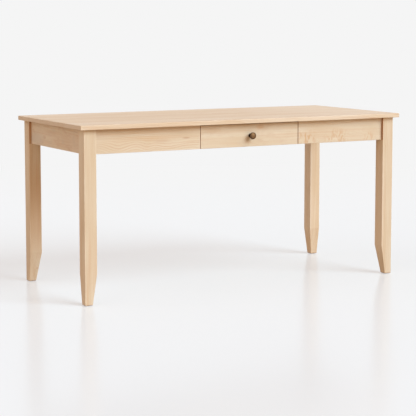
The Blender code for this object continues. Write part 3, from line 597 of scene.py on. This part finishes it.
def settle(bm, name, body, finish, replaced=(), sharpAngle=32):
    bmesh.ops.remove_doubles(bm, verts=bm.verts, dist=mergeDistance)
    for face in bm.faces:
        face.smooth = True
    mesh = bpy.data.meshes.new(name)
    bm.to_mesh(mesh)
    bm.free()
    mesh.set_sharp_from_angle(angle=math.radians(sharpAngle))
    mesh.materials.append(finish)
    piece = bpy.data.objects.new(name, mesh)
    bpy.context.scene.collection.objects.link(piece)
    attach(piece, body)
    if replaced:
        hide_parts(*replaced)
    return piece


def wire(bm, points, rounding=None):  # an open line, with some of its corners rounded
    verts = [bm.verts.new(point) for point in points]
    for pair in zip(verts, verts[1:]):
        bm.edges.new(pair)
    for index, radius in (rounding or {}).items():
        bmesh.ops.bevel(
            bm, geom=[verts[index]], offset=radius, offset_type="OFFSET", segments=4,
            profile=0.5, affect="VERTICES", material=-1,
        )


def spinProfile(profile, steps, rounding=None):  # (radius, height) points, turned round Z
    bm = bmesh.new()
    wire(bm, [(radius, 0, height) for radius, height in profile], rounding)
    bmesh.ops.spin(
        bm, geom=bm.verts[:] + bm.edges[:], cent=(0, 0, 0), axis=(0, 0, 1),
        angle=math.tau, steps=steps, use_merge=True,
    )
    bmesh.ops.remove_doubles(bm, verts=bm.verts, dist=mergeDistance)
    bmesh.ops.recalc_face_normals(bm, faces=bm.faces)
    return bm


def fillHoles(bm):
    bmesh.ops.holes_fill(bm, edges=[edge for edge in bm.edges if edge.is_boundary], sides=0)
    bmesh.ops.recalc_face_normals(bm, faces=bm.faces)


def newVerts(result):  # of an extrusion
    return [item for item in result["geom"] if isinstance(item, bmesh.types.BMVert)]


def stand(bm, place, up):  # from the origin and +Z to a place and a direction
    turn = Vector(up).to_track_quat("Z", "Y").to_matrix().to_4x4()
    bmesh.ops.transform(bm, matrix=Matrix.Translation(place) @ turn, verts=bm.verts)


# the knob: base, waisted neck, rounded rim, and a low crown with a ring groove

knob = {
    "profile": [
        (0.0, 0.0290), (0.0033, 0.0290), (0.0068, 0.0286), (0.0096, 0.0280), (0.0105, 0.0277),
        (0.0107, 0.0272), (0.0112, 0.0271), (0.0115, 0.0274), (0.0124, 0.0272), (0.0143, 0.0266),
        (0.0158, 0.0252), (0.0161, 0.0232), (0.0156, 0.0212), (0.0128, 0.0194), (0.0093, 0.0167),
        (0.0069, 0.0128), (0.0059, 0.0094), (0.0066, 0.0064), (0.0083, 0.0040), (0.0088, 0.0033),
        (0.0094, 0.0032), (0.0095, 0.0029), (0.0095, 0.0006), (0.0094, 0.0003), (0.0088, 0.0003),
        (0.0025, 0.0003), (0.0025, 0.0008), (0.0025, 0.0125), (0.0025, 0.0130), (0.0, 0.0130),
    ],
    "steps": 32,
    "levels": 2,
}


def makeKnob():
    bm = spinProfile(knob["profile"], knob["steps"])
    stand(bm, bronze["axis"], (0, -1, 0))
    piece = settle(bm, "knob", "drawer", bronzeFinish, ["drawer_knob"], sharpAngle=180)
    smooth = piece.modifiers.new("smooth", "SUBSURF")
    smooth.levels = smooth.render_levels = knob["levels"]


makeKnob()
print("knob turned")


# pan-head screws: a cross recess in the head, and a thread wound round the core

screws = {
    "wood": {"shank": 0.0021, "head": 0.0043, "height": 0.0024, "pitch": 0.0018},
    "brace": {"shank": 0.0028, "head": 0.0060, "height": 0.0034, "pitch": 0.0026},
    "knob": {"shank": 0.0020, "head": 0.0045, "height": 0.0022, "pitch": 0.0008},
    "slide": {"shank": 0.0017, "head": 0.0034, "height": 0.0016, "pitch": 0.0014},
}

screwShape = {
    # shares of the head's radius and height, from the recess outwards
    "headCurve": [(0.52, 1.0), (0.72, 0.93), (0.93, 0.66), (1.0, 0.34)],
    "gap": 0.0003,  # under the head
    "core": 0.74,  # of the shank's radius
    # shares of the length
    "plain": 0.16,
    "threadStart": 0.20,
    "threadRun": 0.64,
    "point": 0.86,
    # the cross: half an arm's width, its depth, and how far it narrows
    "crossArm": 0.13,
    "crossDepth": 0.72,
    "crossTaper": 0.55,
    "sides": 24,
    "threadFoot": 0.92,  # of the core's radius
    "threadWidth": 0.60,  # of the pitch
    "threadSteps": 12,
}


def crossPoint(index, half, reach):  # 24 points round a cross, starting at the end of an arm
    arm, step = divmod(index, 6)
    middle = (half + reach) / 2
    spots = [(reach, 0), (reach, half), (middle, half), (half, half), (half, middle), (half, reach)]
    return Matrix.Rotation(arm * math.pi / 2, 2) @ Vector(spots[step])


def makeScrew(name, look, seat, direction, length, body, replaced=()):
    shank, head, height, pitch = (look[key] for key in ("shank", "head", "height", "pitch"))
    core, gap, sides = shank * screwShape["core"], screwShape["gap"], screwShape["sides"]
    start = -length * screwShape["threadStart"]
    profile = [(head * out, height * up) for out, up in screwShape["headCurve"]]
    rim = profile[0][0]
    profile += [
        (head, gap), (shank, gap), (shank, -length * screwShape["plain"]), (core, start),
        (core, -length * screwShape["point"]), (0, -length),
    ]
    bm = spinProfile(profile, sides)
    # the ring at the top of the head becomes a cross, sunk into the head
    top = [vert for vert in bm.verts if abs(vert.co.z - height) < mergeDistance * 10]
    for vert in top:
        index = round(math.atan2(vert.co.y, vert.co.x) / math.tau * sides) % sides
        vert.co.xy = crossPoint(index, head * screwShape["crossArm"], rim)
    edges = [edge for edge in bm.edges if edge.is_boundary]
    sunk = newVerts(bmesh.ops.extrude_edge_only(bm, edges=edges))
    bmesh.ops.scale(bm, vec=(screwShape["crossTaper"], screwShape["crossTaper"], 1), verts=sunk)
    bmesh.ops.translate(bm, vec=(0, 0, -height * screwShape["crossDepth"]), verts=sunk)
    fillHoles(bm)
    # the thread: a small triangle carried round and down the core
    turns = int(length * screwShape["threadRun"] / pitch)
    steps = screwShape["threadSteps"]
    foot, width = core * screwShape["threadFoot"], pitch * screwShape["threadWidth"]
    corners = [(foot, 0, start), (shank, 0, start - width / 2), (foot, 0, start - width)]
    verts = [bm.verts.new(corner) for corner in corners]
    edges = [bm.edges.new((verts[a], verts[b])) for a, b in ((0, 1), (1, 2), (2, 0))]
    bmesh.ops.spin(
        bm, geom=verts + edges, cent=(0, 0, 0), axis=(0, 0, 1), dvec=(0, 0, -pitch / steps),
        angle=math.tau * turns, steps=steps * turns,
    )
    fillHoles(bm)
    stand(bm, seat, -Vector(direction))
    settle(bm, name, body, zincFinish, replaced)


def screwFromNode(node, look, direction, body):  # seat and length are read off the solid
    low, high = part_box(node)
    way = Vector(direction)
    middle = (low + high) / 2
    half = abs(way.dot(high - low)) / 2
    seat = middle - way * (half - look["height"])
    makeScrew(node + "_threaded", look, seat, way, 2 * half - look["height"], body, [node])


# counted from the aprons' inside corner
braceSeat = {"corner": (0.7568, 0.3016), "inset": 0.05736, "length": 0.05024}


def makeScrews():
    for node in sorted(nodes):
        if node.startswith(("top_button_screw", "rail_screw")):
            screwFromNode(node, screws["wood"], (0, 0, 1), "frame")
        elif node.startswith("drawer_front_screw"):
            screwFromNode(node, screws["wood"], (0, -1, 0), "drawer")
        elif node == "knob_screw":
            screwFromNode(node, screws["knob"], (0, -1, 0), "drawer")
    for endName, end in (("front", -1), ("back", 1)):
        for sideName, side in (("left", -1), ("right", 1)):
            node = "corner_brace_screw_" + endName + "_" + sideName
            low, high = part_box(node)
            x, y = braceSeat["corner"]
            outward = Vector((side, end, 0)).normalized()
            seat = Vector((side * x, end * y, (low.z + high.z) / 2)) - outward * braceSeat["inset"]
            length = braceSeat["length"]
            makeScrew(node + "_threaded", screws["brace"], seat, outward, length, "frame", [node])


makeScrews()
print("screws made")


# foot glides: a nylon disc with a rounded rim, on a stem in the foot

glide = {
    "radius": 0.011, "height": 0.0012, "stem": 0.002, "stemTop": 0.0152, "steps": 48,
    "rim": 0.0005, "upperRim": 0.0004, "stemRim": 0.0010,
}


def makeGlides():
    profile = [
        (0, 0), (glide["radius"], 0), (glide["radius"], glide["height"]), (glide["stem"], glide["height"]),
        (glide["stem"], glide["stemTop"]), (0, glide["stemTop"]),
    ]
    rounding = {1: glide["rim"], 2: glide["upperRim"], 4: glide["stemRim"]}
    for node in sorted(nodes):
        if node.startswith("foot_glide"):
            low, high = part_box(node)
            bm = spinProfile(profile, glide["steps"], rounding)
            stand(bm, ((low.x + high.x) / 2, (low.y + high.y) / 2, 0), (0, 0, 1))
            settle(bm, node.replace("foot_", "") + "_nylon", "frame", nylonFinish, [node])


makeGlides()
print("glides made")


# drawer slides: folded steel channels one inside the other, with balls in thin cages between them

slide = {
    "sides": {"left": (-0.2355, 1), "right": (0.2715, -1)},  # divider face, and the way to the drawer
    "middleZ": 0.686,
    "span": (-0.2963, 0.1037),
    "wall": 0.0012,
    "fold": 0.0017,
    "tipFold": 0.7,  # of the fold
    "holeMargin": 0.0012,
    "holeCuts": 5,
    "screws": {"front": 0.035, "back": 0.375},  # along the drawer member
    "screwLength": 0.010,
    "screwGap": 0.0001,
}

members = {  # web and tip are steps from the divider face; holes are (place along, length, height)
    "cabinet_member": {
        "body": "frame", "web": 0.0003, "tip": 0.0095, "height": 0.0350, "curl": 0.0019,
        "holes": [
            (0.045, 0.011, 0.0052), (0.150, 0.011, 0.0052), (0.255, 0.026, 0.0060), (0.350, 0.011, 0.0052),
        ],
    },
    "middle_member": {
        "body": "{}_middle_member", "web": 0.0030, "tip": 0.0110, "height": 0.0274, "curl": 0.0014,
        "holes": [(0.060, 0.040, 0.0080), (0.200, 0.040, 0.0080), (0.340, 0.040, 0.0080)],
    },
    "drawer_member": {
        "body": "drawer", "web": 0.0130, "tip": 0.0060, "height": 0.0198, "curl": 0.0016,
        "holes": [(0.085, 0.011, 0.0046), (0.230, 0.011, 0.0046), (0.330, 0.011, 0.0046)],
    },
}

cages = {
    "outer_ball_cage": {
        "body": "{}_outer_cage", "web": 0.0018, "tip": 0.0085, "lip": 0.0150, "ballStep": 0.0056,
    },
    "inner_ball_cage": {
        "body": "{}_inner_cage", "web": 0.0045, "tip": 0.0105, "lip": 0.0112, "ballStep": 0.0080,
    },
}

cage = {
    "span": (-0.1913, -0.0013), "wall": 0.0006, "fold": 0.0008, "tipStep": 0.001,
    "ballRadius": 0.0012, "balls": 20,
}


def punch(bm, centre, half, tall):  # an oblong hole in a flat web that faces along X
    margin = slide["holeMargin"]
    for axis, reach in ((1, half + margin), (2, tall + margin)):
        for sign in (-1, 1):
            normal = Vector((0, 0, 0))
            normal[axis] = sign
            geom = bm.verts[:] + bm.edges[:] + bm.faces[:]
            edge = centre + normal * reach
            bmesh.ops.bisect_plane(bm, geom=geom, dist=mergeDistance, plane_co=edge, plane_no=normal)
    patch = min(bm.faces, key=lambda face: (face.calc_center_median() - centre).length)
    bmesh.ops.inset_individual(bm, faces=[patch], thickness=margin)
    bmesh.ops.subdivide_edges(bm, edges=patch.edges[:], cuts=slide["holeCuts"])
    patch = min(bm.faces, key=lambda face: (face.calc_center_median() - centre).length)
    straight = half - tall
    for vert in patch.verts:
        core = Vector((centre.x, centre.y + max(-straight, min(straight, vert.co.y - centre.y)), centre.z))
        vert.co = core + (vert.co - core).normalized() * tall
    bmesh.ops.delete(bm, geom=[patch], context="FACES_ONLY")


def foldStrip(points, rounding, span, wall, holes=()):  # (x, z) line, drawn along Y and given a wall inwards
    bm = bmesh.new()
    wire(bm, [(x, span[0], z) for x, z in points], rounding)
    far = newVerts(bmesh.ops.extrude_edge_only(bm, edges=bm.edges[:]))
    bmesh.ops.translate(bm, vec=(0, span[1] - span[0], 0), verts=far)
    web = points[2][0]
    inside = sum(x for x, z in points) / len(points)
    for along, length, height in holes:
        punch(bm, Vector((web, span[0] + along, slide["middleZ"])), length / 2, height / 2)
    bmesh.ops.recalc_face_normals(bm, faces=bm.faces)
    sample = max(bm.faces, key=lambda face: abs(face.normal.x) * face.calc_area())
    if sample.normal.x * (inside - web) < 0:  # the wall grows into the channel
        bmesh.ops.reverse_faces(bm, faces=bm.faces)
    bmesh.ops.solidify(bm, geom=bm.faces[:], thickness=-wall)
    bmesh.ops.recalc_face_normals(bm, faces=bm.faces)
    return bm


def makeMember(sideName, part, look, face, outward):
    z, fold = slide["middleZ"], slide["fold"]
    web, tip = face + outward * look["web"], face + outward * look["tip"]
    half, curl = look["height"] / 2, look["curl"]
    points = [
        (tip, z + half - curl), (tip, z + half), (web, z + half),
        (web, z - half), (tip, z - half), (tip, z - half + curl),
    ]
    tipFold = fold * slide["tipFold"]
    rounding = {1: tipFold, 2: fold, 3: fold, 4: tipFold}
    bm = foldStrip(points, rounding, slide["span"], slide["wall"], look["holes"])
    node = "slide_" + sideName + "_" + part
    settle(bm, node + "_folded", look["body"].format(sideName), zincFinish, [node])


def makeCage(sideName, part, look, face, outward):
    z, (start, stop) = slide["middleZ"], cage["span"]
    web, tip = face + outward * look["web"], face + outward * look["tip"]
    lip = look["lip"] + cage["wall"] / 2
    nearTip = tip - outward * cage["tipStep"]
    points = [(tip, z + lip), (nearTip, z + lip), (web, z + lip), (web, z - lip), (tip, z - lip)]
    bm = foldStrip(points, {2: cage["fold"], 3: cage["fold"]}, cage["span"], cage["wall"])
    node = "slide_" + sideName + "_" + part
    body = look["body"].format(sideName)
    settle(bm, node + "_strip", body, cageFinish, [node])

    bm = bmesh.new()
    x, radius = face + outward * look["ballStep"], cage["ballRadius"]
    pitch = (stop - start) / cage["balls"]
    for index in range(cage["balls"]):
        for sign in (-1, 1):
            spot = Matrix.Translation((x, start + pitch * (index + 0.5), z + sign * look["lip"]))
            bmesh.ops.create_uvsphere(bm, u_segments=8, v_segments=6, radius=radius, matrix=spot)
    settle(bm, node.replace("ball_cage", "balls"), body, ballFinish, sharpAngle=180)


def makeSlides():
    for sideName, (face, outward) in slide["sides"].items():
        for part, look in members.items():
            makeMember(sideName, part, look, face, outward)
        for part, look in cages.items():
            makeCage(sideName, part, look, face, outward)
        # two screws hold each drawer member to its drawer side
        x = face + outward * (members["drawer_member"]["web"] - slide["wall"] - slide["screwGap"])
        for word, along in slide["screws"].items():
            seat = (x, slide["span"][0] + along, slide["middleZ"])
            name = f"slide_{sideName}_screw_{word}"
            makeScrew(name, screws["slide"], seat, (outward, 0, 0), slide["screwLength"], "drawer")


makeSlides()
print("slides made")


# camera, light and floor

camera = {
    "place": (-3.0609, -5.4962, 1.1880),
    "turn": (math.pi / 2 - 0.10582, 0, -0.50578),
    "sensor": 36.0,
    "lens": 117.705,
    "shiftY": -0.10,
    "clipEnd": 200.0,
}

light = {  # a wide cool key from the front right, a soft fill from the left, a warm room in front
    "key": {"towards": (0.43, -0.72, 0.56), "strength": 2.68, "spread": 42.0, "colour": (0.826, 1.04, 1.19)},
    "fill": {"towards": (-0.85, -0.10, 0.50), "strength": 0.69, "spread": 80.0, "colour": (0.98, 1.06, 1.12)},
    "roomLow": (0.69, 0.395, 0.163, 1.0),
    "wallLow": (0.51, 0.485, 0.46, 1.0),
    "high": (0.41, 0.30, 0.29, 1.0),
    "roomToWall": (-0.1, 0.6),
    "lowToHigh": (0.0, 1.0),
    "background": shade(245, 245, 245),
}

floorLook = {
    "size": 60.0,
    "drop": 0.0002,
    "colour": (0.916, 0.945, 0.948, 1.0),
    "bounce": (0.50, 0.35, 0.215, 1.0),
    "shadowShare": 0.62,
    "roughness": 0.19,
    "fade": (2.2, 5.0),  # from shadowed floor to plain background
}


def makeCamera():
    data = bpy.data.cameras.new("camera")
    data.sensor_width = camera["sensor"]
    data.lens = camera["lens"]
    data.shift_y = camera["shiftY"]
    data.clip_end = camera["clipEnd"]
    holder = bpy.data.objects.new("camera", data)
    holder.location = camera["place"]
    holder.rotation_euler = camera["turn"]
    bpy.context.scene.collection.objects.link(holder)
    bpy.context.scene.camera = holder


def shownRay(tree):  # 1 where the background is seen, straight, in a gloss or through glass
    seen = add(tree, "ShaderNodeLightPath").outputs
    shown = calc(tree, "MAXIMUM", seen["Is Camera Ray"], seen["Is Glossy Ray"])
    return calc(tree, "MAXIMUM", shown, seen["Is Transmission Ray"])


def makeLight():
    for name in ("key", "fill"):
        lamp = light[name]
        data = bpy.data.lights.new(name, "SUN")
        data.energy = lamp["strength"]
        data.color = lamp["colour"]
        data.angle = math.radians(lamp["spread"])
        holder = bpy.data.objects.new(name, data)
        holder.rotation_euler = Vector(lamp["towards"]).to_track_quat("Z", "Y").to_euler()
        bpy.context.scene.collection.objects.link(holder)

    world = bpy.data.worlds.new("studio")
    bpy.context.scene.world = world
    world.use_nodes = True
    tree = world.node_tree
    tree.nodes.clear()
    way = add(tree, "ShaderNodeTexCoord").outputs["Generated"]
    roomToWall = spread(tree, axisOf(tree, way, "Y"), *light["roomToWall"])
    lowToHigh = spread(tree, axisOf(tree, way, "Z"), *light["lowToHigh"])
    low = blendColour(tree, roomToWall, light["roomLow"], light["wallLow"])
    sky = blendColour(tree, lowToHigh, low, light["high"])
    colour = blendColour(tree, shownRay(tree), sky, light["background"])
    glow = add(tree, "ShaderNodeBackground", {"Color": colour, "Strength": 1.0})
    add(tree, "ShaderNodeOutputWorld", {"Surface": glow.outputs[0]})


def makeFloor():
    bm = bmesh.new()
    bmesh.ops.create_grid(bm, x_segments=1, y_segments=1, size=floorLook["size"])
    bmesh.ops.translate(bm, vec=(0, 0, -floorLook["drop"]), verts=bm.verts)
    mesh = bpy.data.meshes.new("floor")
    bm.to_mesh(mesh)
    bm.free()
    floor = bpy.data.objects.new("floor", mesh)
    bpy.context.scene.collection.objects.link(floor)

    material, tree = newTree("studio_floor")
    shown = shownRay(tree)
    colour = blendColour(tree, shown, floorLook["bounce"], floorLook["colour"])
    inputs = {"Base Color": colour, "Roughness": floorLook["roughness"]}
    paint = add(tree, "ShaderNodeBsdfPrincipled", inputs)
    glow = add(tree, "ShaderNodeEmission", {"Color": light["background"], "Strength": 1.0})
    place = add(tree, "ShaderNodeTexCoord").outputs["Object"]
    far = spread(tree, vector(tree, "LENGTH", place), *floorLook["fade"])
    share = calc(tree, "MULTIPLY_ADD", far, floorLook["shadowShare"], 1 - floorLook["shadowShare"])
    share = calc(tree, "MULTIPLY", share, shown)
    mixed = add(tree, "ShaderNodeMixShader", {0: share, 1: paint.outputs[0], 2: glow.outputs[0]})
    # clear from below, so that the underside of the desk can be looked at
    below = add(tree, "ShaderNodeNewGeometry").outputs["Backfacing"]
    clear = add(tree, "ShaderNodeBsdfTransparent")
    oneSided = add(tree, "ShaderNodeMixShader", {0: below, 1: mixed.outputs[0], 2: clear.outputs[0]})
    add(tree, "ShaderNodeOutputMaterial", {"Surface": oneSided.outputs[0]})
    mesh.materials.append(material)


makeCamera()
makeLight()
makeFloor()
bpy.context.scene.view_settings.view_transform = "Standard"
print("camera, light and floor set")
